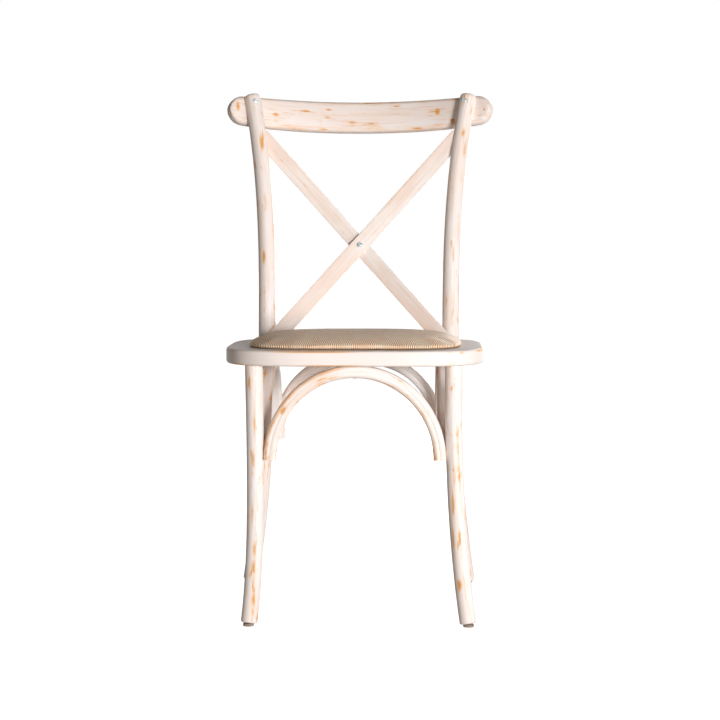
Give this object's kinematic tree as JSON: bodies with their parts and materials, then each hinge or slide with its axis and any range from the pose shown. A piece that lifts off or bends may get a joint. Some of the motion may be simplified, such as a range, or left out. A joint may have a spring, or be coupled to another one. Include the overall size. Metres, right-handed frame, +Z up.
{
  "type": "cross-back chair",
  "caption": "Bentwood chair with a crossed-strap back, arched braces between the legs, a rounded seat ring and a woven seat pad, its white paint rubbed through to the wood.",
  "frame": {"origin": "on the floor, under the middle of the whole chair's box", "axes": "+Z up, -Y the way the chair faces, +X to the right seen from the front"},
  "size_m": [0.4832, 0.5356, 0.8909],
  "materials": {
    "white_paint": "thin white paint, satin, rubbed through to honey-coloured wood in streaks and along edges",
    "strap_paint": "thin white paint with a warm cast, satin",
    "plywood": "bare sanded plywood",
    "woven_pad": "close basket weave of natural cane",
    "bright_steel": "bright zinc",
    "glide": "dull grey-brown"
  },
  "bodies": {
    "root": {"seat_ring": "white_paint", "front_leg_left": "white_paint", "front_leg_right": "white_paint", "rear_leg_left": "white_paint", "rear_leg_right": "white_paint", "front_arch": "white_paint", "rear_arch": "white_paint", "side_arch_left": "white_paint", "side_arch_right": "white_paint", "top_rail": "white_paint", "back_strap_left": "strap_paint", "back_strap_right": "strap_paint", "seat_panel": "plywood", "seat_pad": "woven_pad", "front_arch_crown_screw": "bright_steel", "front_arch_screw_left": "bright_steel", "front_arch_screw_right": "bright_steel", "rear_arch_crown_screw": "bright_steel", "rear_arch_screw_left": "bright_steel", "rear_arch_screw_right": "bright_steel", "side_arch_left_crown_screw": "bright_steel", "side_arch_left_screw_front": "bright_steel", "side_arch_left_screw_rear": "bright_steel", "side_arch_right_crown_screw": "bright_steel", "side_arch_right_screw_front": "bright_steel", "side_arch_right_screw_rear": "bright_steel", "rail_screw_left": "bright_steel", "rail_screw_right": "bright_steel", "rear_leg_bolt_left": "bright_steel", "rear_leg_bolt_right": "bright_steel", "panel_screw_front_left": "bright_steel", "panel_screw_rear_left": "bright_steel", "panel_screw_front_right": "bright_steel", "panel_screw_rear_right": "bright_steel", "cross_bolt": "bright_steel", "cross_nut": "bright_steel", "front_glide_left": "glide", "front_glide_right": "glide", "rear_glide_left": "glide", "rear_glide_right": "glide"}
  },
  "joints": []
}
